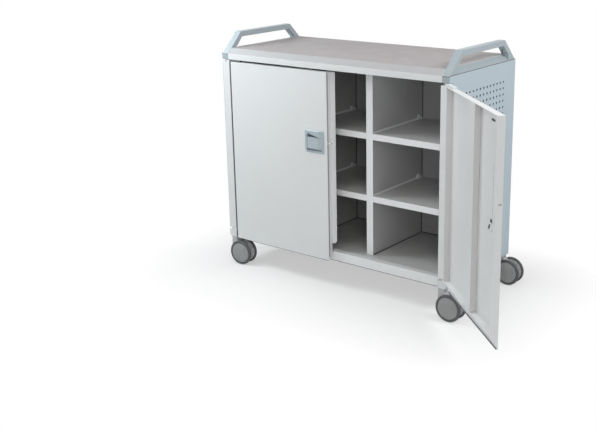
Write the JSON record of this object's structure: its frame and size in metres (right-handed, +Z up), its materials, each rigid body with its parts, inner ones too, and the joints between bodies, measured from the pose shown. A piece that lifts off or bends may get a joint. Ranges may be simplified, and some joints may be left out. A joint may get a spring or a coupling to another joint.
{
  "type": "mobile storage cabinet",
  "caption": "Low mobile storage cabinet on swivel casters, with hinged doors over divided shelves, perforated side panels, a paddle latch and push handles at its ends.",
  "frame": {"origin": "on the floor, under the centre of the whole object's box with the right door open", "axes": "+X across the front towards the open door, +Y from the front to the back, +Z up"},
  "size_m": [1.2244, 0.7024, 0.822],
  "materials": {
    "white_paint": "satin powder coat",
    "blue_grey_paint": "satin powder coat",
    "handle_paint": "painted casting",
    "worktop_laminate": "laminate-faced board",
    "inside_paint": "matt paint",
    "latch_moulding": "satin moulding",
    "bright_steel": "plated",
    "caster_moulding": "matt moulding",
    "wheel_rubber": "matt tread",
    "catch_moulding": "matt moulding"
  },
  "bodies": {
    "cabinet": {"worktop": "worktop_laminate", "bottom_panel": "white_paint", "back_panel": "inside_paint", "magnet_catch": "catch_moulding", "right_side_panel": "white_paint", "left_side_panel": "white_paint", "right_side_skin": "blue_grey_paint", "left_side_skin": "blue_grey_paint", "right_handle": "handle_paint", "left_handle": "handle_paint", "right_divider": "white_paint", "left_divider": "white_paint", "left_lower_shelf": "white_paint", "left_upper_shelf": "white_paint", "middle_lower_shelf": "white_paint", "middle_upper_shelf": "white_paint", "right_lower_shelf": "white_paint", "right_upper_shelf": "white_paint", "front_left_stem": "caster_moulding", "front_right_stem": "caster_moulding", "rear_left_stem": "caster_moulding", "rear_right_stem": "caster_moulding"},
    "right_door": {"right_door_pan": "white_paint", "right_door_stiffener": "white_paint", "right_door_strike": "bright_steel", "right_upper_arm": "white_paint", "right_lower_arm": "white_paint"},
    "left_door": {"left_door_pan": "white_paint", "left_door_stiffener": "white_paint", "left_door_lip": "white_paint", "left_upper_arm": "white_paint", "left_lower_arm": "white_paint", "latch_bezel": "latch_moulding", "latch_pin": "bright_steel"},
    "paddle": {"latch_paddle": "latch_moulding"},
    "bolt": {"latch_bolt": "bright_steel"},
    "front_left_caster": {"front_left_caster_body": "caster_moulding", "front_left_axle": "bright_steel"},
    "front_right_caster": {"front_right_caster_body": "caster_moulding", "front_right_axle": "bright_steel"},
    "rear_left_caster": {"rear_left_caster_body": "caster_moulding", "rear_left_axle": "bright_steel"},
    "rear_right_caster": {"rear_right_caster_body": "caster_moulding", "rear_right_axle": "bright_steel"},
    "front_left_near": {"front_left_near_wheel": "wheel_rubber"},
    "front_left_far": {"front_left_far_wheel": "wheel_rubber"},
    "front_right_near": {"front_right_near_wheel": "wheel_rubber"},
    "front_right_far": {"front_right_far_wheel": "wheel_rubber"},
    "rear_left_near": {"rear_left_near_wheel": "wheel_rubber"},
    "rear_left_far": {"rear_left_far_wheel": "wheel_rubber"},
    "rear_right_near": {"rear_right_near_wheel": "wheel_rubber"},
    "rear_right_far": {"rear_right_far_wheel": "wheel_rubber"}
  },
  "joints": [
    {"name": "right_door_hinge", "type": "hinge", "parent": "cabinet", "child": "right_door", "pos_m": [0.27678, -0.05516, 0.408], "axis": [0, 0, 1], "range_deg": [-139, 21]},
    {"name": "left_door_hinge", "type": "hinge", "parent": "cabinet", "child": "left_door", "pos_m": [-0.60122, -0.05516, 0.408], "axis": [0, 0, -1], "range_deg": [0, 160]},
    {"name": "paddle_turn", "type": "hinge", "parent": "left_door", "child": "paddle", "pos_m": [-0.21372, -0.05916, 0.47], "axis": [1, 0, 0], "range_deg": [0, 22]},
    {"name": "bolt_slide", "type": "slide", "parent": "left_door", "child": "bolt", "axis": [-1, 0, 0], "range_m": [0, 0.012]},
    {"name": "front_left_swivel", "type": "hinge", "parent": "cabinet", "child": "front_left_caster", "pos_m": [-0.59382, -0.05156, 0.088], "axis": [0, 0, 1], "continuous": true},
    {"name": "front_right_swivel", "type": "hinge", "parent": "cabinet", "child": "front_right_caster", "pos_m": [0.26938, -0.05156, 0.088], "axis": [0, 0, 1], "continuous": true},
    {"name": "rear_left_swivel", "type": "hinge", "parent": "cabinet", "child": "rear_left_caster", "pos_m": [-0.59382, 0.32524, 0.088], "axis": [0, 0, 1], "continuous": true},
    {"name": "rear_right_swivel", "type": "hinge", "parent": "cabinet", "child": "rear_right_caster", "pos_m": [0.26938, 0.32524, 0.088], "axis": [0, 0, 1], "continuous": true},
    {"name": "front_left_near_spin", "type": "hinge", "parent": "front_left_caster", "child": "front_left_near", "pos_m": [-0.56398, -0.04842, 0.044], "axis": [-0.1045, 0.9945, 0], "continuous": true},
    {"name": "front_left_far_spin", "type": "hinge", "parent": "front_left_caster", "child": "front_left_far", "pos_m": [-0.56398, -0.04842, 0.044], "axis": [-0.1045, 0.9945, 0], "continuous": true},
    {"name": "front_right_near_spin", "type": "hinge", "parent": "front_right_caster", "child": "front_right_near", "pos_m": [0.29938, -0.05156, 0.044], "axis": [0, 1, 0], "continuous": true},
    {"name": "front_right_far_spin", "type": "hinge", "parent": "front_right_caster", "child": "front_right_far", "pos_m": [0.29938, -0.05156, 0.044], "axis": [0, 1, 0], "continuous": true},
    {"name": "rear_left_near_spin", "type": "hinge", "parent": "rear_left_caster", "child": "rear_left_near", "pos_m": [-0.56382, 0.32524, 0.044], "axis": [0, 1, 0], "continuous": true},
    {"name": "rear_left_far_spin", "type": "hinge", "parent": "rear_left_caster", "child": "rear_left_far", "pos_m": [-0.56382, 0.32524, 0.044], "axis": [0, 1, 0], "continuous": true},
    {"name": "rear_right_near_spin", "type": "hinge", "parent": "rear_right_caster", "child": "rear_right_near", "pos_m": [0.29938, 0.32524, 0.044], "axis": [0, 1, 0], "continuous": true},
    {"name": "rear_right_far_spin", "type": "hinge", "parent": "rear_right_caster", "child": "rear_right_far", "pos_m": [0.29938, 0.32524, 0.044], "axis": [0, 1, 0], "continuous": true}
  ],
  "couplings": [
    {"joint": "bolt_slide", "follows": "paddle_turn", "m_per_rad": 0.03125}
  ]
}
